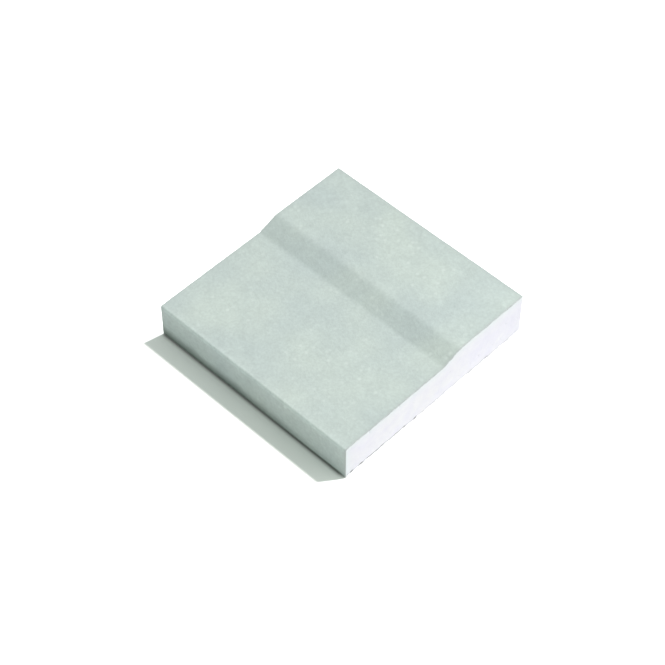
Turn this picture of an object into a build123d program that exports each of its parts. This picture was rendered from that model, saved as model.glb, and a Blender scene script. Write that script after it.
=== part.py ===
from build123d import *
import os

# A squared piece of tapered-edge drywall, lying face up, in millimetres.
# X runs along the bound edge, Y across the board, Z up through its thickness.
# The origin is at the middle of the footprint, on the surface it lies on.

# Driving dimensions: the board
board_thickness = 12.5
length = 60.0
width = 60.0
face_paper_thickness = 0.3
back_paper_thickness = 0.3

# Driving dimensions: the tapered edge, where the joint tape and filler go
recess_width = 32.5
ramp_run = 5.5
recess_depth = 2.0
ramp_top_radius = 4.0
ramp_foot_radius = 3.0

# Driving dimensions: the bound edge, which the face paper wraps
edge_top_radius = 0.5
edge_bottom_radius = 0.7
fold_under = 20.0
back_paper_setback = 4.5
tab_step_run = 1.0

# Places across the board
y_bound_edge = -width / 2
y_cut_edge = width / 2
y_ramp_foot = y_bound_edge + recess_width
y_ramp_top = y_ramp_foot + ramp_run
y_tab_end = y_bound_edge + fold_under
y_back_paper_edge = y_bound_edge + back_paper_setback
y_tab_step = y_back_paper_edge - tab_step_run

# Heights above the surface the board lies on
z_field = board_thickness
z_recess = board_thickness - recess_depth
z_back = 0.0
z_tab = z_back + back_paper_thickness

# The outer surface of the face paper, from the cut edge to the end of the tab,
# which is flush with the back as far as the back paper and steps up over it there
skin_points = [
    (y_cut_edge, z_field),
    (y_ramp_top, z_field),
    (y_ramp_foot, z_recess),
    (y_bound_edge, z_recess),
    (y_bound_edge, z_back),
    (y_tab_step, z_back),
    (y_back_paper_edge, z_tab),
    (y_tab_end, z_tab),
]
skin_radii = [ramp_top_radius, ramp_foot_radius, edge_top_radius, edge_bottom_radius, 0, 0]

os.makedirs("parts", exist_ok=True)

# Face paper: one sheet over the field, the ramp and the recess, wrapped round
# the bound edge and folded under the core as a tab
with BuildPart() as face_paper:
    with BuildSketch(Plane.YZ) as paper_section:
        with BuildLine():
            paper_line = FilletPolyline(*skin_points, radius=skin_radii)
            offset(paper_line, amount=face_paper_thickness, side=Side.LEFT, mode=Mode.ADD)
        make_face()
    extrude(amount=length / 2, both=True)

# Gypsum core: everything between the papers, thinner where the tab lies under it
with BuildPart() as gypsum_core:
    with BuildSketch(Plane.YZ):
        with BuildLine():
            core_line = FilletPolyline(*skin_points, radius=skin_radii)
            Polyline(core_line @ 1, (y_cut_edge, z_tab), core_line @ 0)
        make_face()
        add(paper_section.sketch_local, mode=Mode.SUBTRACT)
    extrude(amount=length / 2, both=True)

# Back paper: a flat sheet glued to the core and over the tab, stopping short
# of the bound edge
with BuildPart() as back_paper:
    with BuildSketch(Plane.XY):
        with Locations((0, y_cut_edge)):
            Rectangle(length, width - back_paper_setback, align=(Align.CENTER, Align.MAX))
    extrude(amount=back_paper_thickness)

face_paper.part.label = "face_paper"
export_step(face_paper.part, "parts/face_paper.step")
gypsum_core.part.label = "gypsum_core"
export_step(gypsum_core.part, "parts/gypsum_core.step")
back_paper.part.label = "back_paper"
export_step(back_paper.part, "parts/back_paper.step")
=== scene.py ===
import math

import bpy
import numpy as np
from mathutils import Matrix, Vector


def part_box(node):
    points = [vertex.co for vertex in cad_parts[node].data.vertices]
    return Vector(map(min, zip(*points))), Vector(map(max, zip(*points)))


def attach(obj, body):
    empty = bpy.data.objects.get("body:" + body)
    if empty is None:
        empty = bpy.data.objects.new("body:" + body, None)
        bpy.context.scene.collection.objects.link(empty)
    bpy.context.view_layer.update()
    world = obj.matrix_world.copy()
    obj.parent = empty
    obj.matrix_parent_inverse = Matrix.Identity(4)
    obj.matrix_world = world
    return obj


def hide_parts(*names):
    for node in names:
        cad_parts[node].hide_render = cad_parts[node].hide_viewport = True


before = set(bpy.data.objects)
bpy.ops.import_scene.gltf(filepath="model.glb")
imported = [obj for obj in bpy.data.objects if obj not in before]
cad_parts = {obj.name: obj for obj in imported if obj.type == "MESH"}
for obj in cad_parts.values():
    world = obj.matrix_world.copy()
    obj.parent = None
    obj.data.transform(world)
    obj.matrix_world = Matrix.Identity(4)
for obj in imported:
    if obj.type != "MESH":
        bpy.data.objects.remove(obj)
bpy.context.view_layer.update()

bl_info = {
    "name": "Drywall Sheet",
    "version": (1, 0, 0),
    "blender": (4, 5, 0),
    "location": "3D View > Sidebar > Drywall",
    "description": "Finish of a squared piece of tapered-edge drywall, and the stage it lies on",
    "category": "Add Mesh",
}

MM = 0.001
BODY = "root"
IMAGE_WIDTH = 665
SENSOR_WIDTH = 36.0
FLOOR_HALF = 3.0
ORIGIN = (0.0, 0.0, 0.0)

SKIN_LOW, SKIN_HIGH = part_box("face_paper")
CORE_LOW, CORE_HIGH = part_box("gypsum_core")
BACK_LOW, BACK_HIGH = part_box("back_paper")
PAPER_THICKNESS = CORE_LOW.y - SKIN_LOW.y

# Spacing of a mesh's points along the paper's line, and on the core's faces
PAPER_SPACING = 0.24 * MM
CORE_SPACING = 0.22 * MM

# Shares of the finest grain on the paper and on the gypsum, and spots of painted shadow, as of small chips,
# at the foot of the cuts
FINE_GRAIN = 0.038
CHALK_GRAIN = 0.035
CHIP_SHADOW_SPOTS = {"Spacing": 0.0015, "Share": 0.42, "Radius": 0.60}

# Greatest sum of three layers of noise, step of a node tree's layout, and a mesh's sharp edge
THREE_LAYERS = 1.75
NODE_STEP = 200.0
SHARP_ANGLE = math.radians(35.0)


def length_prop(name, description, millimetres):
    """A length, with its default in millimetres."""
    return bpy.props.FloatProperty(name=name, description=description, default=millimetres * MM,
                                   unit="LENGTH", precision=5)


def angle_prop(name, description, degrees):
    """An angle, with its default in degrees."""
    return bpy.props.FloatProperty(name=name, description=description, default=math.radians(degrees),
                                   unit="ROTATION")


def share_prop(name, description, default, top=1.0):
    """A share or level from 0 to its top."""
    return bpy.props.FloatProperty(name=name, description=description, default=default, min=0.0, max=top)


def colour_prop(name, description, default, top=1.0):
    """A colour whose channels run from 0 to its top."""
    return bpy.props.FloatVectorProperty(name=name, description=description, default=default,
                                         subtype="COLOR", size=3, min=0.0, max=top)


class DrywallEdgeSettings(bpy.types.PropertyGroup):
    """The tapered and wrapped edge, which the frame's boxes don't give"""

    recess_width: length_prop("Recess Width", "Flat floor of the tapered edge", 32.5)
    ramp_run: length_prop("Ramp Run", "Width of the ramp from the recess to the field", 5.5)
    recess_depth: length_prop("Recess Depth", "Depth of the recess below the field", 2.0)
    ramp_top_radius: length_prop("Ramp Top Radius", "Round where the ramp meets the field", 4.0)
    ramp_foot_radius: length_prop("Ramp Foot Radius", "Round where the ramp meets the recess", 3.0)
    edge_top_radius: length_prop("Edge Top Radius", "Round at the top of the bound edge", 0.5)
    edge_bottom_radius: length_prop("Edge Bottom Radius", "Round at the bottom of the bound edge", 0.5)
    fold_under: length_prop("Fold Under", "Width of the face paper's tab under the core", 20.0)
    tab_step_run: length_prop("Tab Step Run", "Width of the tab's step up over the back paper", 1.0)
    tab_step_radius: length_prop("Tab Step Radius", "Rounds of the tab's step", 0.4)


class DrywallFacePaperSettings(bpy.types.PropertyGroup):
    """Finish of the face paper"""

    cool_colour: colour_prop("Cool Colour", "Blue-grey side of the paper's mottling", (0.563, 0.652, 0.624))
    warm_colour: colour_prop("Warm Colour", "Yellow-green side of the mottling", (0.584, 0.670, 0.618))
    rim_colour: colour_prop("Rim Colour", "Grey inner plies that show on the cut rim", (0.42, 0.45, 0.44))
    grain: share_prop("Grain", "Share by which the paper's grain darkens and lightens it", 0.075)
    # Painted shade: the foot of the bound edge darkens towards the floor, with a dark line of painted shadow
    # along the very foot.
    foot_shade: share_prop("Foot Shade", "Share by which painted foot shade covers the foot of the bound edge", 0.85)
    foot_shade_reach: length_prop("Soil Reach", "Height over which the painted foot shade on the bound edge thins out", 4.0)
    seam: share_prop("Seam", "Share by which painted foot shade covers the line along the very foot", 0.96)
    foot_line_height: length_prop("Seam Height", "Height of the dark line along the very foot", 0.7)
    # Painted light and shade: a highlight under the arris, light down the edge, shade on the ramp and light
    # to the right on the field.
    painted_light_share: share_prop("Painted Light And Shade", "Share by which painted edge light has paled the top of the bound edge", 0.12)
    # Dark colour of the painted shade at the foot of the bound edge.
    foot_shade_colour: colour_prop("Soil Colour", "Dark green-grey of the painted foot shade", (0.030, 0.055, 0.032))
    waviness: length_prop("Waviness", "Height of the paper's slow waves", 0.02)
    raggedness: length_prop("Raggedness", "How far the cut rims wander", 0.045)


class DrywallGypsumSettings(bpy.types.PropertyGroup):
    """Finish of the gypsum core"""

    colour: colour_prop("Colour", "Lavender side of the set gypsum's white", (0.880, 0.876, 0.950))
    warm_colour: colour_prop("Warm Colour", "Warmer side of the set gypsum's white", (0.888, 0.890, 0.908))
    edge_colour: colour_prop("Edge Colour", "Denser gypsum next to the face paper", (0.840, 0.912, 0.905))
    grain: length_prop("Grain", "Depth of the cut faces' fine grain", 0.03)
    bubble_radius: length_prop("Bubble Radius", "Largest air bubble opened by the cut", 0.30)
    bubbles: bpy.props.IntProperty(
        name="Bubbles", description="Air bubbles opened on each cut face",
        default=70, min=0)


class DrywallBackPaperSettings(bpy.types.PropertyGroup):
    """Finish of the back paper"""

    colour: colour_prop("Colour", "Grey of the recycled back paper", (0.42, 0.40, 0.385))
    speck_colour: colour_prop("Speck Colour", "Ink specks in the recycled pulp", (0.16, 0.15, 0.15))
    raggedness: length_prop("Raggedness", "How far the torn cut rims wander", 0.22)


class DrywallStageSettings(bpy.types.PropertyGroup):
    """Floor, light and camera"""

    floor_colour: colour_prop("Floor Colour", "Floor that throws light on the sheet", (0.90, 0.90, 0.90))
    floor_seen: colour_prop("Floor Seen", "Floor that the camera sees", (0.960, 0.990, 0.945))
    floor_lift: share_prop("Floor Lift", "White that the camera sees on top, in the sheet's shadow", 0.010)
    far_lift: share_prop("Far Lift", "White that the camera sees on top, away from the shadow", 1.0)
    left_lift: share_prop("Left Lift", "White that the camera sees on top, at the shadow's left end", 0.045)
    lift_fade: length_prop("Lift Fade", "Distance over which the white on top grows, round the shadow", 0.5)
    shadow_reach: length_prop("Shadow Reach", "Width of the floor's strip that keeps the shadow", 5.35)
    shadow_left: angle_prop("Shadow Left", "Lean to the left of the shadow's left end", 12.6)
    shadow_right: angle_prop("Shadow Right", "Lean to the left of the shadow's right end", 37.2)
    contact: share_prop("Contact", "Share by which the floor darkens where the bound edge meets it", 0.75)
    contact_reach: length_prop("Contact Reach", "Distance over which that darkening fades", 1.4)
    key_direction: bpy.props.FloatVectorProperty(
        name="Key Direction", description="Direction from the sheet to the key light",
        default=(0.216, 0.440, 0.872), subtype="DIRECTION", size=3)
    key_level: share_prop("Key Level", "Share of the face's light that the key gives", 0.442, top=2.0)
    key_colour: colour_prop("Key Colour", "Colour of the key light", (1.062, 0.973, 1.017), top=2.0)
    key_softness: angle_prop("Key Softness", "Width of the key light as seen from the sheet", 2.0)
    sky_level: share_prop("Sky Level", "Brightness of the white room round the sheet", 0.444, top=2.0)
    sky_colour: colour_prop("Sky Colour", "Light of the white room", (0.935, 1.026, 0.988), top=2.0)
    fill_azimuth: angle_prop("Fill Azimuth", "Turn of the soft fill light round the sheet", 100.0)
    fill_elevation: angle_prop("Fill Elevation", "Height of the soft fill light above the horizon", 38.0)
    fill_distance: length_prop("Fill Distance", "Distance from the fill light to the sheet", 330.0)
    fill_size: length_prop("Fill Size", "Side of the square soft fill light", 240.0)
    fill_power: bpy.props.FloatProperty(
        name="Fill Power", description="Power of the soft fill light",
        default=0.25, unit="POWER", precision=3)
    camera_azimuth: angle_prop("Camera Azimuth", "Turn of the camera round the sheet", 44.131)
    camera_elevation: angle_prop("Camera Elevation", "Height of the camera above the horizon", 50.632)
    camera_distance: length_prop("Camera Distance", "Distance from the camera to its target", 461.54)
    camera_target: bpy.props.FloatVectorProperty(
        name="Camera Target", description="Point on the floor at the picture's middle",
        default=(-1.473 * MM, -1.581 * MM, 0.0), subtype="TRANSLATION", unit="LENGTH", size=3)
    focal_pixels: bpy.props.FloatProperty(
        name="Focal Pixels", description="Focal length in pixels of the 665-pixel picture",
        default=1934.055, min=1.0)


def smooth(t):
    """The climb 3t^2 - 2t^3, level at 0 and at 1."""
    return t * t * (3.0 - 2.0 * t)


def lattice_noise(u, v, seed):
    """Smooth noise from -1 to 1 at the points u, v.

    Random values stand on a square lattice one unit apart, and between four of
    them the value is blended by the smooth climb along u and along v.
    """
    side = 256
    table = np.random.default_rng(seed).uniform(-1.0, 1.0, (side, side))
    column, row = np.floor(u).astype(int), np.floor(v).astype(int)
    fu, fv = smooth(u - column), smooth(v - row)
    c0, c1 = column % side, (column + 1) % side
    r0, r1 = row % side, (row + 1) % side
    near = table[c0, r0] * (1.0 - fu) + table[c1, r0] * fu
    far = table[c0, r1] * (1.0 - fu) + table[c1, r1] * fu
    return near * (1.0 - fv) + far * fv


def layered_noise(u, v, seed, layers):
    """Sum of lattice noise, each layer twice as fine and half as strong as the last."""
    total = np.zeros(np.broadcast(u, v).shape)
    for layer in range(layers):
        fineness = 2.0 ** layer
        total = total + lattice_noise(u * fineness + 17.0 * layer, v * fineness, seed + layer) / fineness
    return total


def end_graded(low, high, count, grading=0.85):
    """Stations from low to high that crowd together at both ends.

    A share of the spacing is even and the rest follows the cosine of a half turn.
    """
    t = np.linspace(0.0, 1.0, count)
    even = 2.0 * t - 1.0
    crowded = -np.cos(math.pi * t)
    return low + (high - low) * 0.5 * (1.0 + (1.0 - grading) * even + grading * crowded)


def rounded_path(corners, radii, spacing):
    """Points and outward normals along a polyline in the YZ plane with rounded corners.

    A corner of radius r that turns by the angle a is cut back by r tan(a / 2) on both
    sides, and an arc about the centre, r to the side of the turn, joins the two cuts.
    Outward is to the right of the way that the path runs. Points that fall on the one
    before are left out.
    """
    corners = np.asarray(corners, float)
    points, normals = [], []
    start = corners[0]
    for index, radius in enumerate([*radii, 0.0]):
        corner = corners[index + 1]
        along = (corner - corners[index]) / np.linalg.norm(corner - corners[index])
        facing = np.array([along[1], -along[0]])
        turn = 0.0
        if radius > 0.0:
            onward = corners[index + 2] - corner
            turn = math.atan2(along[0] * onward[1] - along[1] * onward[0], along @ onward)
        stop = corner - along * radius * abs(math.tan(turn / 2.0))
        share = np.linspace(0.0, 1.0, max(2, math.ceil(np.linalg.norm(stop - start) / spacing)) + 1)
        points.append(start + (stop - start) * share[:, None])
        normals.append(np.repeat(facing[None, :], len(share), axis=0))
        if radius > 0.0:
            signed_radius = math.copysign(radius, turn)
            angle = np.linspace(0.0, turn, max(8, math.ceil(radius * abs(turn) / spacing)) + 1)
            swept = np.stack([facing[0] * np.cos(angle) - facing[1] * np.sin(angle),
                              facing[0] * np.sin(angle) + facing[1] * np.cos(angle)], axis=1)
            points.append(stop + (swept - facing) * signed_radius)
            normals.append(swept)
            start = points[-1][-1]
    points = np.concatenate(points)
    normals = np.concatenate(normals)
    fresh = np.concatenate([[True], np.linalg.norm(np.diff(points, axis=0), axis=1) > 0.0001 * MM])
    return points[fresh], normals[fresh]


def skin_corners(edge):
    """Corners and radii of the face paper's outer line, from the cut edge to the tab's end."""
    ramp_foot = SKIN_LOW.y + edge.recess_width
    ramp_top = ramp_foot + edge.ramp_run
    recess = SKIN_HIGH.z - edge.recess_depth
    corners = [
        (SKIN_HIGH.y, SKIN_HIGH.z),
        (ramp_top, SKIN_HIGH.z),
        (ramp_foot, recess),
        (SKIN_LOW.y, recess),
        (SKIN_LOW.y, SKIN_LOW.z),
        (BACK_LOW.y - edge.tab_step_run, SKIN_LOW.z),
        (BACK_LOW.y, BACK_HIGH.z),
        (SKIN_LOW.y + edge.fold_under, BACK_HIGH.z),
    ]
    radii = [edge.ramp_top_radius, edge.ramp_foot_radius, edge.edge_top_radius, edge.edge_bottom_radius,
             edge.tab_step_radius, edge.tab_step_radius]
    return corners, radii


def grid_faces(rows, columns):
    """Quads of a grid of vertices that are numbered row by row."""
    row, column = np.meshgrid(np.arange(rows - 1), np.arange(columns - 1), indexing="ij")
    corner = (row * columns + column).ravel()
    return np.stack([corner, corner + 1, corner + columns + 1, corner + columns], axis=1)


def strip_faces(line_a, line_b):
    """Quads between two lines of as many vertex numbers."""
    return np.stack([line_a[:-1], line_b[:-1], line_b[1:], line_a[1:]], axis=1)


def mesh_object(name, points, faces, material):
    """A smooth-shaded mesh object in metres at the origin, with sharp edges past an angle."""
    mesh = bpy.data.meshes.new(name)
    mesh.from_pydata(points.tolist(), [], faces)
    mesh.polygons.foreach_set("use_smooth", np.ones(len(mesh.polygons), bool))
    mesh.set_sharp_from_angle(angle=SHARP_ANGLE)
    mesh.materials.append(material)
    mesh.update()
    thing = bpy.data.objects.new(name, mesh)
    bpy.context.scene.collection.objects.link(thing)
    return thing


def outward(points, quads):
    """The quads turned so that they enclose a positive volume."""
    a, b, c, d = (points[quads[:, k]] for k in range(4))
    volume = np.einsum("ij,ij->i", a, np.cross(b, c) + np.cross(c, d)).sum()
    return quads if volume > 0.0 else quads[:, ::-1]


def set_attribute(thing, name, domain, values):
    """Writes one number for each point or face of a mesh."""
    attribute = thing.data.attributes.new(name, "FLOAT", domain)
    attribute.data.foreach_set("value", np.asarray(values, np.float32))


def sheet_solid(outer, inner):
    """A closed sheet from two grids of points, with a rim round both.

    The first quads are the outer grid's, the next the inner grid's, and the rim's
    come last. It returns the points, the quads and how many of them are not rim.
    """
    rows, columns, _ = outer.shape
    count = rows * columns
    number = np.arange(count).reshape(rows, columns)
    loop = np.concatenate([number[0, :-1], number[:-1, -1], number[-1, :0:-1], number[::-1, 0]])
    rim = strip_faces(loop + count, loop)
    quads = grid_faces(rows, columns)
    faces = np.concatenate([quads[:, ::-1], quads + count, rim])
    points = np.concatenate([outer.reshape(-1, 3), inner.reshape(-1, 3)])
    return points, outward(points, faces), len(faces) - len(rim)


def feed(tree, socket, value):
    """Feeds an input from another node's socket, or sets it to a plain value."""
    if isinstance(value, bpy.types.NodeSocket):
        tree.links.new(value, socket)
    else:
        socket.default_value = (*value, 1.0) if socket.type == "RGBA" else value


def add_node(tree, kind, at, inputs=None, **settings):
    """A shader node at a place in the tree's layout, with its settings and what feeds its inputs."""
    made = tree.nodes.new(kind)
    made.location = (at[0] * NODE_STEP, at[1] * NODE_STEP)
    for key, value in settings.items():
        setattr(made, key, value)
    for key, value in (inputs or {}).items():
        feed(tree, made.inputs[key], value)
    return made


def combined(tree, at, operation, first, second, clamp=False):
    """Two numbers, each a socket or a plain value, worked into one."""
    joined = add_node(tree, "ShaderNodeMath", at, {0: first, 1: second}, operation=operation, use_clamp=clamp)
    return joined.outputs[0]


def product(tree, at, first, second, clamp=False):
    """The product of two numbers."""
    return combined(tree, at, "MULTIPLY", first, second, clamp)


def ranged(tree, at, value, start, stop, low=0.0, high=1.0, **settings):
    """A number that runs from low to high as the value goes from start to stop."""
    span = {"Value": value, "From Min": start, "From Max": stop, "To Min": low, "To Max": high}
    return add_node(tree, "ShaderNodeMapRange", at, span, **settings).outputs[0]


def mix_colours(tree, at, factor, first, second):
    """A colour mix; factor, first and second are sockets or plain values."""
    return add_node(tree, "ShaderNodeMix", at, {0: factor, 6: first, 7: second}, data_type="RGBA").outputs[2]


def shaded(tree, at, mask, colour, low, high):
    """A colour times a number that runs from low to high as the mask runs from 0 to 1."""
    level = ranged(tree, at, mask, 0.0, 1.0, low, high, clamp=False)
    scale = {0: colour, "Scale": level}
    return add_node(tree, "ShaderNodeVectorMath", (at[0] + 1, at[1]), scale, operation="SCALE").outputs[0]


def attribute_value(tree, name, at):
    """A mesh attribute's number."""
    return add_node(tree, "ShaderNodeAttribute", at, attribute_name=name).outputs["Fac"]


def new_group(name, output, **numbers):
    """An empty shader node group: a vector and named numbers go in, and one number comes out.

    It returns the group, its given values and the inputs of its output node.
    """
    group = bpy.data.node_groups.new(name, "ShaderNodeTree")
    new_socket = group.interface.new_socket
    new_socket(name="Vector", in_out="INPUT", socket_type="NodeSocketVector")
    for label, default in numbers.items():
        new_socket(name=label, in_out="INPUT", socket_type="NodeSocketFloat").default_value = default
    new_socket(name=output, in_out="OUTPUT", socket_type="NodeSocketFloat")
    entry = add_node(group, "NodeGroupInput", (-5, 0))
    leave = add_node(group, "NodeGroupOutput", (5, 0))
    return group, entry.outputs, leave.inputs


def mottle_group(name):
    """Cloudy patches: layered noise, stretched about its middle value and kept from 0 to 1.

    Size is the width of the largest patches, Detail how often they are halved, and
    Roughness how strong each halving is beside the last.
    """
    group, given, leave = new_group(name, "Mask", Size=0.004, Detail=3.0, Roughness=0.55, Contrast=2.0)
    scale = combined(group, (-4, -1), "DIVIDE", 1.0, given["Size"])
    noise = add_node(group, "ShaderNodeTexNoise", (-3, 0), {
        "Vector": given["Vector"], "Scale": scale,
        "Detail": given["Detail"], "Roughness": given["Roughness"]})
    centred = combined(group, (-1, 0), "SUBTRACT", noise.outputs["Fac"], 0.5)
    spread = product(group, (0, 0), centred, given["Contrast"])
    feed(group, leave["Mask"], combined(group, (1, 0), "ADD", spread, 0.5, clamp=True))
    return group


def flecks_group(name):
    """Scattered flecks: a share of the cells of a cell pattern each show a soft round dot."""
    group, given, leave = new_group(name, "Mask", Spacing=0.001, Share=0.1, Radius=0.3)
    scale = combined(group, (-4, -1), "DIVIDE", 1.0, given["Spacing"])
    cells = add_node(group, "ShaderNodeTexVoronoi", (-3, 0), {"Vector": given["Vector"], "Scale": scale})
    dot = ranged(group, (-1, 1), cells.outputs["Distance"], 0.0, given["Radius"], 1.0, 0.0,
                 interpolation_type="SMOOTHSTEP")
    parts = add_node(group, "ShaderNodeSeparateColor", (-1, -1), {0: cells.outputs["Color"]})
    chosen = combined(group, (0, -1), "LESS_THAN", parts.outputs[0], given["Share"])
    feed(group, leave["Mask"], product(group, (2, 0), dot, chosen))
    return group


def fibre_group(name):
    """Paper fibres: fine noise drawn out along X and along Y, the stronger of the two showing."""
    group, given, leave = new_group(name, "Height", Width=0.00015, Stretch=6.0)
    scale = combined(group, (-4, -2), "DIVIDE", 1.0, given["Width"])
    shrink = combined(group, (-4, -1), "DIVIDE", 1.0, given["Stretch"])
    heights = []
    for row, long_axis, tilt in ((1, 0, 0.5), (-1, 1, -0.4)):
        factors = add_node(group, "ShaderNodeCombineXYZ", (-3, row),
                           {0: 1.0, 1: 1.0, 2: 1.0, long_axis: shrink})
        turned = add_node(group, "ShaderNodeVectorRotate", (-2, row),
                          {"Vector": given["Vector"], "Angle": tilt}, rotation_type="Z_AXIS")
        drawn = add_node(group, "ShaderNodeVectorMath", (-1, row),
                         {0: turned.outputs[0], 1: factors.outputs[0]}, operation="MULTIPLY")
        noise = add_node(group, "ShaderNodeTexNoise", (1, row), {
            "Vector": drawn.outputs[0], "Scale": scale, "Detail": 2.0, "Distortion": 0.6})
        heights.append(noise.outputs["Fac"])
    feed(group, leave["Height"], combined(group, (3, 0), "MAXIMUM", *heights))
    return group


EFFECTS = {"Mottle": mottle_group, "Flecks": flecks_group, "Fibre": fibre_group}


def effect(tree, kind, at, vector, **values):
    """What a shared effect puts out, its group built once and placed here with its own values."""
    name = "Drywall " + kind
    group = bpy.data.node_groups.get(name) or EFFECTS[kind](name)
    return add_node(tree, "ShaderNodeGroup", at, {"Vector": vector, **values}, node_tree=group).outputs[0]


def cleared_tree(holder):
    """The emptied node tree of a material or a world."""
    holder.use_nodes = True
    holder.node_tree.nodes.clear()
    return holder.node_tree


def new_material(name, roughness):
    """A material with its Principled shader and its Object coordinates."""
    material = bpy.data.materials.new(name)
    tree = cleared_tree(material)
    shader = add_node(tree, "ShaderNodeBsdfPrincipled", (8, 0),
                      {"Roughness": roughness, "Specular IOR Level": 0.25})
    add_node(tree, "ShaderNodeOutputMaterial", (10, 0), {"Surface": shader.outputs[0]})
    place = add_node(tree, "ShaderNodeTexCoord", (-6, 0))
    return material, tree, shader, place.outputs["Object"]


def finish_shader(tree, shader, colour, height, distance):
    """Feeds the shader its colour, and a bump as high as the distance in metres."""
    bump = add_node(tree, "ShaderNodeBump", (6, -1),
                    {"Height": height, "Distance": distance, "Strength": 1.0})
    feed(tree, shader.inputs["Base Color"], colour)
    feed(tree, shader.inputs["Normal"], bump.outputs[0])


def rim_dust_and_chip_shadows(tree, place, foot):
    """The cut rims: gypsum dust in patches, and at the foot dark spots of painted shadow, as of small chips.

    Foot is a socket that is 1 or more at the foot, and 0 or less elsewhere.
    """
    patches = effect(tree, "Mottle", (0, -3), place, Size=0.0022, Detail=2.0, Roughness=0.8, Contrast=4.0)
    chip_shadow_dots = effect(tree, "Flecks", (0, -4), place, **CHIP_SHADOW_SPOTS)
    dust = mix_colours(tree, (1, -3), patches, (0.46, 0.47, 0.48), (0.76, 0.78, 0.79))
    # Dark spots of painted shadow, as of small chips, at the foot.
    chip_shadowed = product(tree, (1, -4), chip_shadow_dots, foot, clamp=True)
    return mix_colours(tree, (2, -3), chip_shadowed, dust, (0.14, 0.14, 0.14))


def face_paper_material(settings):
    """Pale green paper: two-tone tint, grain, pale flecks, fibres, painted shade at the foot, painted light
    and shade, and grey cut rims.
    """
    material, tree, shader, place = new_material("face_paper_green", 0.85)
    tint = effect(tree, "Mottle", (-4, 4), place, Size=0.014, Detail=1.0, Roughness=0.5, Contrast=2.6)
    grain = effect(tree, "Mottle", (-4, 3), place, Size=0.014, Detail=5.5, Roughness=0.95, Contrast=3.0)
    fine = effect(tree, "Mottle", (-4, 5), place, Size=0.0008, Detail=1.0, Roughness=0.9, Contrast=3.0)
    flecks = effect(tree, "Flecks", (-4, 2), place, Spacing=0.0018, Share=0.55, Radius=0.40)
    fibre = effect(tree, "Fibre", (-4, 0), place, Width=0.0005, Stretch=2.5)
    foot_shade, worn, rim, tone, rim_place = (
        attribute_value(tree, name, (-4, -1 - row))
        for row, name in enumerate(("foot_painted_shade", "cut_wear", "cut_rim", "painted_light_and_shade", "rim_place")))
    toned = mix_colours(tree, (-2, 4), tint, settings.cool_colour, settings.warm_colour)
    cloudy = shaded(tree, (-2, 3), grain, toned, 1.0 - settings.grain, 1.0 + settings.grain)
    grained = shaded(tree, (-1, 3), fine, cloudy, 1.0 - FINE_GRAIN, 1.0 + FINE_GRAIN)
    clusters = product(tree, (-1, 1), flecks, tint)
    flecked = mix_colours(tree, (1, 2), product(tree, (0, 1), clusters, 0.55), grained, (0.76, 0.85, 0.80))
    # Painted light and shade on the paper: a highlight under the arris, shade on the ramp, light on the right
    # of the field.
    painted_lit = shaded(tree, (1, 1), tone, flecked, 1.0, 1.0 + settings.painted_light_share)
    # Painted shade darkens the foot of the bound edge.
    foot_shaded = mix_colours(tree, (3, 1), foot_shade, painted_lit, settings.foot_shade_colour)
    bruised = mix_colours(tree, (4, 2), product(tree, (3, -1), worn, 0.35), foot_shaded, (0.47, 0.50, 0.49))
    foot = combined(tree, (-3, -5), "SUBTRACT", rim_place, 1.0)
    # Grey plies, and dust with spots of painted shadow at the rim's foot.
    plies = mix_colours(tree, (5, 0), rim_place, settings.rim_colour, rim_dust_and_chip_shadows(tree, place, foot))
    finish_shader(tree, shader, mix_colours(tree, (6, 2), rim, bruised, plies), fibre, 0.05 * MM)
    return material


def gypsum_material(settings):
    """Chalky white: two-tone patches, grain, small pores, a tinted band by the paper, and painted shadow
    spots at the foot.
    """
    material, tree, shader, place = new_material("gypsum_white", 0.95)
    tint = effect(tree, "Mottle", (-4, 4), place, Size=0.010, Detail=3.0, Roughness=0.7, Contrast=3.4)
    grain = effect(tree, "Mottle", (-4, 3), place, Size=0.005, Detail=4.0, Roughness=0.9, Contrast=3.0)
    pores = effect(tree, "Flecks", (-4, 1), place, Spacing=0.0008, Share=0.25, Radius=0.30)
    torn = effect(tree, "Flecks", (-4, 0), place, **CHIP_SHADOW_SPOTS)
    band = attribute_value(tree, "paper_band", (-4, -1))
    foot = attribute_value(tree, "foot_band", (-4, -2))
    toned = mix_colours(tree, (-2, 4), tint, settings.colour, settings.warm_colour)
    grained = shaded(tree, (-1, 3), grain, toned, 1.0 - CHALK_GRAIN, 1.0 + CHALK_GRAIN)
    banded = mix_colours(tree, (2, 3), band, grained, settings.edge_colour)
    pored = mix_colours(tree, (4, 3), product(tree, (3, 2), pores, 0.06), banded, (0.70, 0.70, 0.74))
    # Spots of painted shadow, as of small chips, along the cut faces' foot.
    chip_shaded = mix_colours(tree, (5, 3), product(tree, (4, 1), torn, foot), pored, (0.22, 0.22, 0.23))
    depth = combined(tree, (4, -1), "SUBTRACT", 1.0, pores)
    finish_shader(tree, shader, chip_shaded, depth, 0.02 * MM)
    return material


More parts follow.
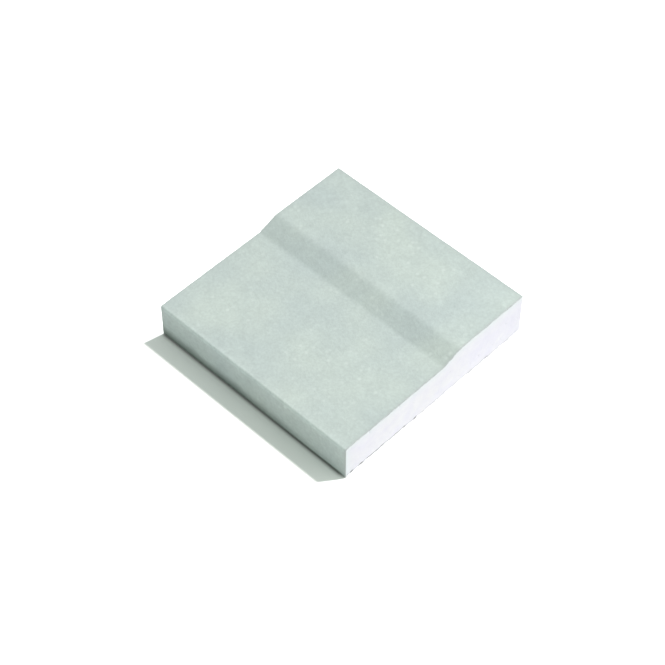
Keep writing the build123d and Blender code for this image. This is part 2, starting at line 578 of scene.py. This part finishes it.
def back_paper_material(settings):
    """Grey recycled paper: cloudy pulp, dark ink specks, pale fibres, and a pale dusty rim with spots of
    painted shadow.
    """
    material, tree, shader, place = new_material("back_paper_grey", 0.9)
    cloudy = effect(tree, "Mottle", (-4, 3), place, Size=0.003, Detail=3.0, Roughness=0.6, Contrast=2.5)
    specks = effect(tree, "Flecks", (-4, 1), place, Spacing=0.0009, Share=0.16, Radius=0.22)
    pale = effect(tree, "Flecks", (-4, 0), place, Spacing=0.0013, Share=0.14, Radius=0.20)
    fibre = effect(tree, "Fibre", (-4, -1), place, Width=0.0002, Stretch=7.0)
    rim = attribute_value(tree, "cut_rim", (-4, -3))
    half = product(tree, (-1, 2), cloudy, 0.5)
    toned = mix_colours(tree, (0, 3), half, settings.colour, (0.54, 0.52, 0.50))
    inked = mix_colours(tree, (1, 3), product(tree, (0, 2), specks, 0.8), toned, settings.speck_colour)
    flecked = mix_colours(tree, (2, 3), product(tree, (1, 1), pale, 0.6), inked, (0.72, 0.71, 0.68))
    # Dust and spots of painted shadow on the cut rim.
    coloured = mix_colours(tree, (5, 3), rim, flecked, rim_dust_and_chip_shadows(tree, place, rim))
    finish_shader(tree, shader, coloured, fibre, 0.03 * MM)
    return material


def rim_wander(along, seed):
    """How far a cut rim strays, from -1 to 1, as noise with 1 mm waves and finer teeth."""
    return layered_noise(along / MM, np.zeros_like(along), seed, 3) / THREE_LAYERS


def fray(grid, run, x, near, amount, seed, inset=0.0):
    """Draws a sheet's grid along itself at its cut rims, by each rim's wander less an inset.

    Run and x are the grid's stations. Near holds, for the right, left and back rims,
    the share of the wander that each point takes.
    """
    right = rim_wander(run, seed)[:, None] - inset
    left = rim_wander(run, seed + 3)[:, None] - inset
    back = rim_wander(x, seed + 6)[None, :] - inset
    grid[:, :, 0] += amount * (right * near[0] - left * near[1])
    grid[:, :, 1] += amount * back * near[2]


def foot_painted_shade(line, x, settings):
    """Painted shade on the bound edge at each station of the paper's line and each x.

    The painted shade thins out evenly with the height h above the foot, as 1 - h / reach, and
    grows weaker and lower from left to right. A weak painted shade reaches 8 mm up. Along the
    very foot runs a dark line of painted shadow, half gone at the right cut end.
    """
    share = (x - SKIN_LOW.x) / (SKIN_HIGH.x - SKIN_LOW.x)
    wander = layered_noise(x / (5.0 * MM), np.zeros_like(x), 71, 2)
    late = smooth(np.clip((share - 0.35) / 0.65, 0.0, 1.0))
    reach = settings.foot_shade_reach * (1.0 - 0.3 * late) * (1.0 + 0.08 * wander)
    height = np.clip(line[:, 1] - SKIN_LOW.z, 0.0, None)[:, None]
    shade_fall = np.clip(1.0 - height / reach, 0.0, 1.0) ** 1.15 * (1.0 - 0.78 * late) * settings.foot_shade
    seam = np.clip(1.6 - height / settings.foot_line_height, 0.0, 1.0)
    seam = seam * (1.0 - 0.5 * np.exp(-(SKIN_HIGH.x - x) / (1.5 * MM)))
    broad_shade = 0.10 * np.clip(1.0 - height / (8.0 * MM), 0.0, 1.0)
    return np.maximum(broad_shade + (1.0 - broad_shade) * shade_fall, settings.seam * seam)


def painted_light_and_shade(run, line, x, edge):
    """Painted light (above 0) and painted shade (below 0) on the paper at each station of its line and each
    x.

    A soft painted highlight one millimetre wide lies just below the arris of the bound edge,
    and weaker painted light runs on down the edge and dies away over some 4 mm. The ramp
    is darker by painted shade. The field grows paler to the right by painted light.
    """
    recess = SKIN_HIGH.z - edge.recess_depth
    arris = np.argmin(np.hypot(line[:, 0] - SKIN_LOW.y, line[:, 1] - recess))
    along = run - run[arris]
    down = np.clip(along, 0.0, None) / (4.0 * MM)
    inward = np.clip(-along, 0.0, None) / (0.4 * MM)
    pale = np.exp(-((along - 0.35 * MM) / (0.75 * MM)) ** 2) + 0.6 * np.exp(-down - inward)
    middle = SKIN_LOW.y + edge.recess_width + edge.ramp_run / 2.0
    away = np.abs(line[:, 0] - middle) / (edge.ramp_run / 2.0)
    ramp_shade = np.clip(1.6 - away, 0.0, 1.0) * (line[:, 1] > recess - MM)
    on_field = np.clip((line[:, 0] - middle) / (4.0 * MM), 0.0, 1.0)[:, None]
    return (pale - 0.3 * ramp_shade)[:, None] + 0.45 * (on_field * np.clip(x / SKIN_HIGH.x, 0.0, 1.0))


def build_face_paper(edge, settings):
    """The wrapped sheet: its rounded line in YZ is carried along X, and set off inward by its thickness.

    The outer side rises and falls by slow noise. Towards the cut rims each point is
    drawn along the sheet by the rim's wander, fading over a third of a millimetre.
    """
    corners, radii = skin_corners(edge)
    line, normal = rounded_path(corners, radii, PAPER_SPACING)
    run = np.concatenate([[0.0], np.cumsum(np.linalg.norm(np.diff(line, axis=0), axis=1))])
    x = end_graded(SKIN_LOW.x, SKIN_HIGH.x, 84)
    wave = settings.waviness * layered_noise(run[:, None] / (9.0 * MM), x[None, :] / (9.0 * MM), 11, 3)
    wave[line[:, 1] < SKIN_LOW.z + edge.edge_bottom_radius] = 0.0
    shape = (len(run), len(x))
    fade = 0.33 * MM
    near = (np.exp(-(SKIN_HIGH.x - x) / fade)[None, :], np.exp(-(x - SKIN_LOW.x) / fade)[None, :],
            np.exp(-run / fade)[:, None])
    layers = []
    for lift, seed in ((wave, 21), (np.full_like(wave, -PAPER_THICKNESS), 31)):
        grid = np.stack([np.broadcast_to(x, shape), line[:, None, 0] + normal[:, None, 0] * lift,
                         line[:, None, 1] + normal[:, None, 1] * lift], axis=2)
        fray(grid, run, x, near, settings.raggedness, seed, 0.4)
        layers.append(grid)
    points, faces, plain = sheet_solid(*layers)
    piece = mesh_object("face_paper_sheet", points, faces, face_paper_material(settings))
    set_attribute(piece, "cut_rim", "FACE", np.arange(len(faces)) >= plain)
    from_cut = np.minimum(np.minimum(SKIN_HIGH.x - x, x - SKIN_LOW.x)[None, :], run[:, None])
    # Wear at the cut rims, painted shade at the foot of the bound edge, and painted light and shade over the
    # paper.
    for name, values in (("cut_wear", np.exp(-from_cut / (0.45 * MM))),
                         ("foot_painted_shade", foot_painted_shade(line, x, settings)),
                         ("painted_light_and_shade", painted_light_and_shade(run, line, x, edge))):
        set_attribute(piece, name, "POINT", np.tile(values.ravel(), 2))
    middle = points[faces].mean(axis=1)
    upright = middle[:, 1] < SKIN_LOW.y + edge.edge_top_radius
    under = ~upright & (middle[:, 2] < SKIN_LOW.z + 3.0 * PAPER_THICKNESS)
    set_attribute(piece, "rim_place", "FACE", 1.0 - upright + under)
    return piece


def core_section(edge):
    """The core's lower and upper lines against Y.

    It returns Y stations, crowded in the rounds of the bound edge, with the height of
    the core's bottom and top at each: the skin's line set off inward by the paper.
    """
    left = CORE_LOW.y
    top_radius = edge.edge_top_radius - PAPER_THICKNESS
    bottom_radius = edge.edge_bottom_radius - PAPER_THICKNESS
    reach = max(top_radius, bottom_radius)
    rounds = left + reach * (1.0 - np.cos(np.linspace(0.0, math.pi / 2.0, 12)))
    flat = np.arange(left + reach, CORE_HIGH.y, CORE_SPACING)[1:]
    y = np.concatenate([rounds, flat, [CORE_HIGH.y]])
    corners, radii = skin_corners(edge)
    line, normal = rounded_path(corners[:4], radii[:2], 0.05 * MM)
    inner = line - normal * PAPER_THICKNESS
    top = np.interp(y, inner[::-1, 0], inner[::-1, 1])
    drop = np.clip(left + top_radius - y, 0.0, top_radius)
    top = top - top_radius + np.sqrt(top_radius ** 2 - drop ** 2)
    tab_end = SKIN_LOW.y + edge.fold_under
    bottom = CORE_LOW.z + np.interp(
        y, [BACK_LOW.y - edge.tab_step_run, BACK_LOW.y, tab_end, tab_end + 0.01 * MM],
        [0.0, BACK_HIGH.z, BACK_HIGH.z, 0.0])
    rise = np.clip(left + bottom_radius - y, 0.0, bottom_radius)
    bottom = bottom + bottom_radius - np.sqrt(bottom_radius ** 2 - rise ** 2)
    return y, bottom, top


def bubble_depth(u, v, settings, seed, span_u, span_v):
    """Depth of the air bubbles that a cut has opened, at the points u, v of its face.

    Each bubble is a sphere whose centre lies a little under the face, so its mouth is
    a shallow bowl: depth = sqrt(radius^2 - distance^2) less the centre's height.
    """
    draw = np.random.default_rng(seed)
    depth = np.zeros(u.shape)
    radius = settings.bubble_radius * (0.35 + 0.65 * draw.random(settings.bubbles) ** 2.5)
    cu = draw.uniform(*span_u, settings.bubbles)
    cv = draw.uniform(*span_v, settings.bubbles)
    for r, bu, bv in zip(radius, cu, cv):
        away = (u - bu) ** 2 + (v - bv) ** 2
        bowl = np.sqrt(np.clip(r * r - away, 0.0, None)) - 0.35 * r
        depth = np.maximum(depth, bowl)
    return depth


def cut_relief(u, v, settings, seed, span_u, span_v):
    """How deep a cut face lies behind its plane: fine grain and opened bubbles."""
    grain = 0.5 + 0.5 * layered_noise(u / (0.8 * MM), v / (0.8 * MM), seed, 3) / THREE_LAYERS
    return settings.grain * grain + bubble_depth(u, v, settings, seed + 9, span_u, span_v)


def build_gypsum_core(edge, settings):
    """The core as a block of grids that share their edges.

    Its two end faces are grids over the section, at X low and X high. The cut edge is
    a grid over X and Z. The surfaces under the papers are long strips between them.
    """
    y, bottom, top = core_section(edge)
    columns = len(y)
    rows = math.ceil((CORE_HIGH.z - CORE_LOW.z) / CORE_SPACING) + 1
    per_end = columns * rows
    share = np.linspace(0.0, 1.0, rows)
    z = bottom[:, None] + (top - bottom)[:, None] * share[None, :]
    yy = np.repeat(y[:, None], rows, axis=1)
    span_x, span_y, span_z = zip(CORE_LOW, CORE_HIGH)
    margin = 0.35 * MM
    inside = np.clip(np.minimum(top[:, None] - z, yy - CORE_LOW.y) / margin, 0.0, 1.0)
    right_depth = cut_relief(yy, z, settings, 101, span_y, span_z) * inside
    left_depth = cut_relief(yy, z, settings, 141, span_y, span_z) * inside
    right = np.stack([CORE_HIGH.x - right_depth, yy, z], axis=2)
    left = np.stack([CORE_LOW.x + left_depth, yy, z], axis=2)
    x = np.linspace(CORE_LOW.x, CORE_HIGH.x, math.ceil((CORE_HIGH.x - CORE_LOW.x) / CORE_SPACING) + 1)
    xx = np.repeat(x[1:-1, None], rows, axis=1)
    zz = np.repeat(z[-1][None, :], len(x) - 2, axis=0)
    edge_inside = np.clip((top[-1] - zz) / margin, 0.0, 1.0)
    ends = np.clip(np.minimum(CORE_HIGH.x - xx, xx - CORE_LOW.x) / margin, 0.0, 1.0)
    sunk = cut_relief(xx, zz, settings, 181, span_x, span_z) * edge_inside * ends
    back = np.stack([xx, CORE_HIGH.y - sunk, zz], axis=2)
    points = np.concatenate([left.reshape(-1, 3), right.reshape(-1, 3), back.reshape(-1, 3)])
    number_left = np.arange(per_end).reshape(columns, rows)
    number_right = number_left + per_end
    number_back = np.arange(back.shape[0] * rows).reshape(-1, rows) + 2 * per_end
    across = np.concatenate([number_left[-1:], number_back, number_right[-1:]])
    back_quads = np.stack([across[:-1, 1:], across[1:, 1:], across[1:, :-1], across[:-1, :-1]], axis=2)
    end_quads = grid_faces(columns, rows)
    faces = np.concatenate([
        end_quads,
        end_quads[:, ::-1] + per_end,
        back_quads.reshape(-1, 4),
        strip_faces(number_left[:-1, -1], number_right[:-1, -1]),
        strip_faces(number_left[:-1, 0], number_right[:-1, 0])[:, ::-1],
        strip_faces(number_left[0], number_right[0]),
    ]).tolist()
    faces.append([number_right[-2, -1], *across[::-1, -1].tolist(), number_left[-2, -1]])
    faces.append([number_left[-2, 0], *across[:, 0].tolist(), number_right[-2, 0]])
    piece = mesh_object("gypsum_core_block", points, faces, gypsum_material(settings))
    near_paper = np.minimum(top[:, None] - z, yy - CORE_LOW.y).ravel()
    near_paper = np.concatenate([near_paper, near_paper, (top[-1] - zz).ravel()])
    set_attribute(piece, "paper_band", "POINT", np.exp(-near_paper / MM))
    # Foot band where the spots of painted shadow show.
    set_attribute(piece, "foot_band", "POINT", np.clip(1.8 - points[:, 2] / (0.6 * MM), 0.0, 1.0))
    return piece


def build_back_paper(settings):
    """The back paper: a flat sheet on the floor, slit straight by the bound edge and torn at the cuts."""
    x = end_graded(BACK_LOW.x, BACK_HIGH.x, 160, 0.6)
    y = end_graded(BACK_LOW.y, BACK_HIGH.y, 150, 0.6)
    fade = 0.5 * MM
    yy, xx = np.meshgrid(y[::-1], x, indexing="ij")
    from_rims = (BACK_HIGH.x - xx, xx - BACK_LOW.x, BACK_HIGH.y - yy)
    near = [np.exp(-distance / fade) for distance in from_rims]
    layers = []
    for height, seed in ((BACK_HIGH.z, 51), (BACK_LOW.z, 57)):
        grid = np.stack([xx, yy, np.full(xx.shape, height)], axis=2)
        fray(grid, yy[:, 0], x, near, settings.raggedness, seed)
        layers.append(grid)
    points, faces, _ = sheet_solid(*layers)
    piece = mesh_object("back_paper_sheet", points, faces, back_paper_material(settings))
    from_cut = np.minimum.reduce([*from_rims, yy - BACK_LOW.y])
    set_attribute(piece, "cut_rim", "POINT", np.tile(np.exp(-from_cut / (0.25 * MM)).ravel(), 2))
    return piece


def seen_plainly(tree, at):
    """One where the camera, or a mirror or glass in front of it, sees the surface."""
    path = add_node(tree, "ShaderNodeLightPath", at).outputs
    either = combined(tree, (at[0] + 1, at[1]), "MAXIMUM", path["Is Camera Ray"], path["Is Glossy Ray"])
    return combined(tree, (at[0] + 2, at[1]), "MAXIMUM", either, path["Is Transmission Ray"])


def beyond_line(tree, at, place, point, way):
    """How far a place on the floor lies past a line through a point, along a unit vector."""
    reach = add_node(tree, "ShaderNodeVectorMath", at, {0: place, 1: way}, operation="DOT_PRODUCT")
    return combined(tree, (at[0] + 1, at[1]), "SUBTRACT", reach.outputs["Value"], point.dot(way))


def outside_shadow(tree, place, settings):
    """How far a place on the floor lies outside the strip that keeps the sheet's shadow.

    The strip runs along the bound edge and a little under its round. Its ends lean from
    the sheet's two lower corners.
    """
    left_lean, right_lean = settings.shadow_left, settings.shadow_right
    lines = (
        ((SKIN_LOW.x, SKIN_LOW.y), (-math.cos(left_lean), math.sin(left_lean))),
        ((SKIN_HIGH.x, SKIN_LOW.y), (math.cos(right_lean), -math.sin(right_lean))),
        ((0.0, SKIN_LOW.y + 0.8 * MM), (0.0, 1.0)),
        ((0.0, SKIN_LOW.y - settings.shadow_reach), (0.0, -1.0)),
    )
    farthest, *others = (beyond_line(tree, (-5, -2 - row), place, Vector((*point, 0.0)), Vector((*way, 0.0)))
                         for row, (point, way) in enumerate(lines))
    for row, past in enumerate(others):
        farthest = combined(tree, (-3, -3 - row), "MAXIMUM", farthest, past)
    return farthest


def contact_shade(tree, across, forward, settings):
    """The floor's darkening along the foot of the bound edge: the cube of the nearness to it."""
    offset = combined(tree, (-4, 5), "SUBTRACT", forward, SKIN_LOW.y)
    distance = combined(tree, (-3, 5), "ABSOLUTE", offset, 0.0)
    nearness = ranged(tree, (-4, 4), distance, settings.contact_reach, 0.0)
    cubed = combined(tree, (-3, 4), "POWER", nearness, 3.0)
    left = ranged(tree, (-4, 3), across, SKIN_LOW.x - 0.5 * MM, SKIN_LOW.x + 0.3 * MM)
    right = ranged(tree, (-4, 2), across, SKIN_HIGH.x + 0.2 * MM, SKIN_HIGH.x - 2.0 * MM)
    ends = product(tree, (-3, 3), left, right)
    return product(tree, (-1, 3), product(tree, (-2, 3), cubed, ends), settings.contact)


def floor_material(settings):
    """White floor that keeps the sheet's shadow.

    The camera sees its lit colour, darker along the foot of the bound edge, with plain
    white on top that grows beyond the shadow's strip, and a little towards its left end.
    """
    material = bpy.data.materials.new("stage_floor")
    tree = cleared_tree(material)
    seen = seen_plainly(tree, (-4, 1))
    place = add_node(tree, "ShaderNodeTexCoord", (-7, 0)).outputs["Object"]
    across, forward, _ = add_node(tree, "ShaderNodeSeparateXYZ", (-6, 3), {0: place}).outputs
    leftward = product(tree, (-1, -1), ranged(tree, (-2, -1), across, SKIN_HIGH.x / 2.0, SKIN_LOW.x),
                       settings.left_lift)
    lift = ranged(tree, (-1, -2), outside_shadow(tree, place, settings), 0.0, settings.lift_fade,
                  settings.floor_lift, settings.far_lift, interpolation_type="SMOOTHSTEP")
    shade = contact_shade(tree, across, forward, settings)
    shown = mix_colours(tree, (0, 2), shade, settings.floor_seen, (0.0, 0.0, 0.0))
    colour = mix_colours(tree, (1, 1), seen, settings.floor_colour, shown)
    white = product(tree, (0, 0), combined(tree, (0, -1), "ADD", lift, leftward), seen)
    matte = add_node(tree, "ShaderNodeBsdfDiffuse", (2, 1), {"Color": colour})
    glow = add_node(tree, "ShaderNodeEmission", (2, 0), {"Strength": white})
    both = add_node(tree, "ShaderNodeAddShader", (3, 1), {0: matte.outputs[0], 1: glow.outputs[0]})
    add_node(tree, "ShaderNodeOutputMaterial", (4, 1), {"Surface": both.outputs[0]})
    return material


def white_room(settings):
    """The world: plain white to the camera, and the sky's colour and level to everything else."""
    world = bpy.data.worlds.new("white_room")
    tree = cleared_tree(world)
    sky = [settings.sky_level * channel for channel in settings.sky_colour]
    colour = mix_colours(tree, (0, 0), seen_plainly(tree, (-4, 0)), sky, (1.0, 1.0, 1.0))
    ground = add_node(tree, "ShaderNodeBackground", (1, 0), {"Color": colour})
    add_node(tree, "ShaderNodeOutputWorld", (2, 0), {"Surface": ground.outputs[0]})
    return world


def build_floor(settings):
    """A flat floor at Z = 0, far wider than the picture."""
    points = FLOOR_HALF * np.array([(-1.0, -1.0, 0.0), (1.0, -1.0, 0.0), (1.0, 1.0, 0.0), (-1.0, 1.0, 0.0)])
    floor = mesh_object("stage_floor", points, [(0, 1, 2, 3)], floor_material(settings))


def view_direction(azimuth, elevation):
    """The unit vector towards a viewer: azimuth 0 stands at low Y, and 90 degrees at high X."""
    return Vector((math.sin(azimuth) * math.cos(elevation),
                   -math.cos(azimuth) * math.cos(elevation),
                   math.sin(elevation)))


def aimed_object(data, target, back, distance):
    """A lamp or camera that stands in the direction back from a target, and faces it."""
    thing = bpy.data.objects.new(data.name, data)
    thing.location = Vector(target) + back * distance
    thing.rotation_mode = "QUATERNION"
    thing.rotation_quaternion = (-back).to_track_quat("-Z", "Y")
    bpy.context.scene.collection.objects.link(thing)
    return thing


def build_lights(settings):
    """A sharp-edged key light from high at the back right, a soft fill from the right, and the room."""
    towards = Vector(settings.key_direction).normalized()
    key = bpy.data.lights.new("key_light", "SUN")
    key.angle = settings.key_softness
    key.color = settings.key_colour
    key.energy = settings.key_level * math.pi / towards.z
    aimed_object(key, ORIGIN, towards, settings.camera_distance)
    fill = bpy.data.lights.new("fill_light", "AREA")
    fill.size = settings.fill_size
    fill.energy = settings.fill_power
    fill_way = view_direction(settings.fill_azimuth, settings.fill_elevation)
    aimed_object(fill, ORIGIN, fill_way, settings.fill_distance)
    bpy.context.scene.world = white_room(settings)


def build_camera(settings):
    """The camera on a sphere round its target, as the azimuth and elevation say."""
    back = view_direction(settings.camera_azimuth, settings.camera_elevation)
    lens = bpy.data.cameras.new("camera")
    lens.sensor_width = SENSOR_WIDTH
    lens.lens = settings.focal_pixels * SENSOR_WIDTH / IMAGE_WIDTH
    lens.clip_start = 0.01
    lens.clip_end = 20.0
    camera = aimed_object(lens, settings.camera_target, back, settings.camera_distance)
    bpy.context.scene.camera = camera


class DRYWALL_OT_face_paper(bpy.types.Operator):
    """Make the green face paper, wrapped round the bound edge"""

    bl_idname = "drywall.face_paper"
    bl_label = "Face Paper"

    def execute(self, context):
        scene = context.scene
        piece = build_face_paper(scene.drywall_edge, scene.drywall_face_paper)
        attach(piece, BODY)
        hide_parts("face_paper")
        return {"FINISHED"}


class DRYWALL_OT_gypsum_core(bpy.types.Operator):
    """Make the white gypsum core with its cut faces"""

    bl_idname = "drywall.gypsum_core"
    bl_label = "Gypsum Core"

    def execute(self, context):
        scene = context.scene
        piece = build_gypsum_core(scene.drywall_edge, scene.drywall_gypsum)
        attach(piece, BODY)
        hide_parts("gypsum_core")
        return {"FINISHED"}


class DRYWALL_OT_back_paper(bpy.types.Operator):
    """Make the grey back paper"""

    bl_idname = "drywall.back_paper"
    bl_label = "Back Paper"

    def execute(self, context):
        piece = build_back_paper(context.scene.drywall_back_paper)
        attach(piece, BODY)
        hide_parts("back_paper")
        return {"FINISHED"}


class DRYWALL_OT_stage(bpy.types.Operator):
    """Make the floor, the lights and the camera"""

    bl_idname = "drywall.stage"
    bl_label = "Stage"

    def execute(self, context):
        settings = context.scene.drywall_stage
        build_floor(settings)
        build_lights(settings)
        build_camera(settings)
        context.scene.view_settings.view_transform = "Standard"
        return {"FINISHED"}


class DRYWALL_PT_sheet(bpy.types.Panel):
    """The sheet's pieces and their settings"""

    bl_idname = "DRYWALL_PT_sheet"
    bl_label = "Drywall Sheet"
    bl_space_type = "VIEW_3D"
    bl_region_type = "UI"
    bl_category = "Drywall"

    def draw(self, context):
        scene = context.scene
        sections = (
            ("Tapered Edge", scene.drywall_edge, None),
            ("Face Paper", scene.drywall_face_paper, "drywall.face_paper"),
            ("Gypsum Core", scene.drywall_gypsum, "drywall.gypsum_core"),
            ("Back Paper", scene.drywall_back_paper, "drywall.back_paper"),
            ("Stage", scene.drywall_stage, "drywall.stage"),
        )
        for title, settings, operator in sections:
            box = self.layout.box()
            box.label(text=title)
            for name in settings.__annotations__:
                box.prop(settings, name)
            if operator:
                box.operator(operator)


SETTINGS = {
    "drywall_edge": DrywallEdgeSettings,
    "drywall_face_paper": DrywallFacePaperSettings,
    "drywall_gypsum": DrywallGypsumSettings,
    "drywall_back_paper": DrywallBackPaperSettings,
    "drywall_stage": DrywallStageSettings,
}

CLASSES = (
    *SETTINGS.values(),
    DRYWALL_OT_face_paper,
    DRYWALL_OT_gypsum_core,
    DRYWALL_OT_back_paper,
    DRYWALL_OT_stage,
    DRYWALL_PT_sheet,
)


def register():
    for cls in CLASSES:
        bpy.utils.register_class(cls)
    for name, cls in SETTINGS.items():
        setattr(bpy.types.Scene, name, bpy.props.PointerProperty(type=cls))


def unregister():
    for name in SETTINGS:
        delattr(bpy.types.Scene, name)
    for cls in reversed(CLASSES):
        bpy.utils.unregister_class(cls)


def main():
    register()
    bpy.ops.drywall.face_paper()
    bpy.ops.drywall.gypsum_core()
    bpy.ops.drywall.back_paper()
    bpy.ops.drywall.stage()


if __name__ == "__main__":
    main()
